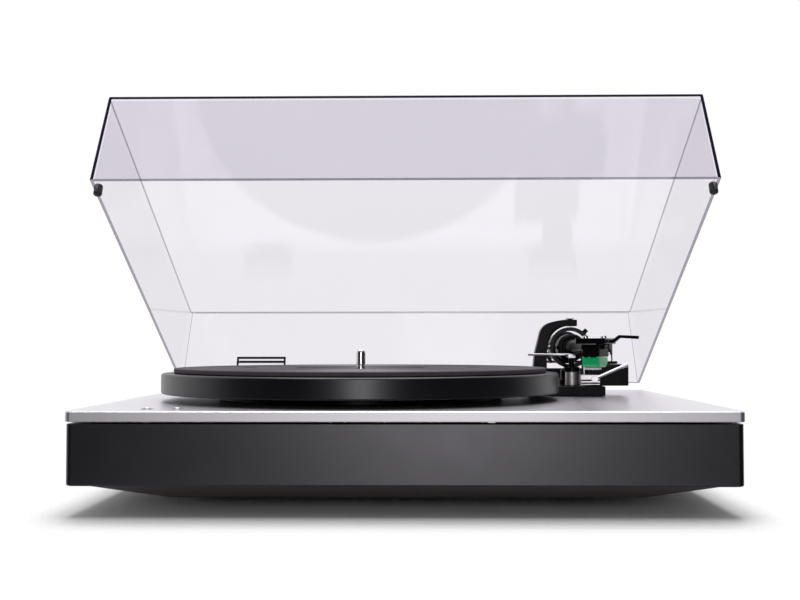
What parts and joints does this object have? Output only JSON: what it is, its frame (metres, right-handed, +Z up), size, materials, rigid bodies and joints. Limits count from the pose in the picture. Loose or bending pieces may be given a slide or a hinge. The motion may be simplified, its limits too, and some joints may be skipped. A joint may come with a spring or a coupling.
{
  "type": "turntable record player",
  "caption": "Direct-drive record player: dark tapered plinth, silver top plate, platter with mat, gimballed tonearm with cueing, and a clear hinged lid.",
  "frame": {"origin": "on the surface it stands on, under the middle of the whole machine with its lid open as stored", "axes": "+X to the right seen from the front, +Y to the back, +Z up"},
  "size_m": [0.435, 0.3772, 0.2861],
  "materials": {
    "aluminium_plate": "fine bead-blasted satin with a bright front chamfer",
    "plinth_paint": "satin black paint over fibreboard",
    "black_anodised": "satin black anodised aluminium",
    "black_metal": "satin black plated steel",
    "black_plastic": "moulded black plastic, fine texture",
    "steel": "turned steel with fine rings",
    "rubber": "matt rubber",
    "clear_acrylic": "clear polished acrylic with a faint grey tint",
    "green_plastic": "moulded green plastic",
    "board": "green solder mask",
    "copper": "enamelled copper wire",
    "magnet": "grey ferrite"
  },
  "bodies": {
    "chassis": {"top_plate": "aluminium_plate", "plinth_body": "plinth_paint", "arm_base": "black_anodised", "arm_pillar": "black_anodised", "pivot_arch": "black_anodised", "hinge_base_left": "black_metal", "hinge_base_right": "black_metal", "top_pivot_screw": "black_metal", "base_tray": "black_plastic", "motor_cover": "black_plastic", "power_supply": "black_plastic", "rear_panel": "black_plastic", "mains_inlet": "black_plastic", "arm_side_housing": "black_plastic", "arm_rest": "black_plastic", "spindle_bearing": "steel", "phono_jack_left": "steel", "phono_jack_right": "steel", "ground_post": "steel", "hinge_pin_left": "steel", "hinge_pin_right": "steel", "lift_cylinder": "steel", "cue_bracket": "steel", "foot_front_left": "rubber", "foot_back_left": "rubber", "foot_front_right": "rubber", "foot_back_right": "rubber", "control_board": "board", "phono_board": "board", "stator_coils": "copper"},
    "platter_assembly": {"platter": "black_anodised", "platter_mat": "rubber", "spindle": "steel", "rotor_magnet": "magnet"},
    "lid_assembly": {"lid": "clear_acrylic", "lid_bumper_left": "rubber", "lid_bumper_right": "rubber", "hinge_clip_left": "black_metal", "hinge_clip_right": "black_metal"},
    "gimbal": {"gimbal_ring": "black_anodised"},
    "tonearm": {"arm_bearing_housing": "black_anodised", "arm_tube": "black_anodised", "headshell": "black_anodised", "finger_lift": "black_anodised", "cartridge_body": "black_plastic", "stylus_holder": "green_plastic", "cantilever": "steel", "rear_stub": "black_anodised"},
    "balance_weight": {"counterweight": "black_metal"},
    "lifter": {"lift_bar": "steel"},
    "lever": {"cue_lever": "steel"},
    "dial": {"anti_skate_dial": "black_plastic"},
    "power_cap": {"power_button": "steel"},
    "speed_cap": {"speed_button": "steel"},
    "rocker": {"power_rocker": "black_plastic"},
    "pairing_cap": {"pairing_button": "black_plastic"},
    "output_knob": {"output_switch": "black_plastic"}
  },
  "joints": [
    {"name": "platter_spin", "type": "hinge", "parent": "chassis", "child": "platter_assembly", "pos_m": [-0.036, -0.0136, 0.0881], "axis": [0, 0, 1], "continuous": true},
    {"name": "lid_hinge", "type": "hinge", "parent": "chassis", "child": "lid_assembly", "pos_m": [0, 0.1714, 0.0735], "axis": [-1, 0, 0], "range_deg": [-25.75, 34.75]},
    {"name": "arm_swing", "type": "hinge", "parent": "chassis", "child": "gimbal", "pos_m": [0.14, 0.0834, 0.1071], "axis": [0, 0, -1], "range_deg": [0, 43]},
    {"name": "arm_tilt", "type": "hinge", "parent": "gimbal", "child": "tonearm", "pos_m": [0.14, 0.0834, 0.1071], "axis": [-0.9985, 0.0541, 0], "range_deg": [0, 5]},
    {"name": "balance_slide", "type": "slide", "parent": "tonearm", "child": "balance_weight", "axis": [-0.0093, 1, 0], "range_m": [-0.004, 0.006]},
    {"name": "cue_lever_turn", "type": "hinge", "parent": "chassis", "child": "lever", "pos_m": [0.152, 0.02, 0.0819], "axis": [0, 1, 0], "range_deg": [0, 40]},
    {"name": "lift_slide", "type": "slide", "parent": "chassis", "child": "lifter", "axis": [0, 0, 1], "range_m": [-0.006, 0]},
    {"name": "anti_skate_turn", "type": "hinge", "parent": "chassis", "child": "dial", "pos_m": [0.169, 0.0544, 0.09365], "axis": [0, 0, 1], "range_deg": [0, 270]},
    {"name": "power_press", "type": "slide", "parent": "chassis", "child": "power_cap", "axis": [0, 0, -1], "range_m": [0, 0.0008], "stiffness_N_per_m": 500, "springref_m": -0.001},
    {"name": "speed_press", "type": "slide", "parent": "chassis", "child": "speed_cap", "axis": [0, 0, -1], "range_m": [0, 0.0008], "stiffness_N_per_m": 500, "springref_m": -0.001},
    {"name": "rocker_tilt", "type": "hinge", "parent": "chassis", "child": "rocker", "pos_m": [-0.052, 0.1576, 0.0375], "axis": [1, 0, 0], "range_deg": [0, 12]},
    {"name": "pairing_press", "type": "slide", "parent": "chassis", "child": "pairing_cap", "axis": [0, -1, 0], "range_m": [0, 0.001], "stiffness_N_per_m": 400, "springref_m": -0.001},
    {"name": "output_select", "type": "slide", "parent": "chassis", "child": "output_knob", "axis": [1, 0, 0], "range_m": [0, 0.0068]}
  ],
  "couplings": [
    {"joint": "cue_lever_turn", "follows": "lift_slide", "rad_per_m": -116.35}
  ]
}
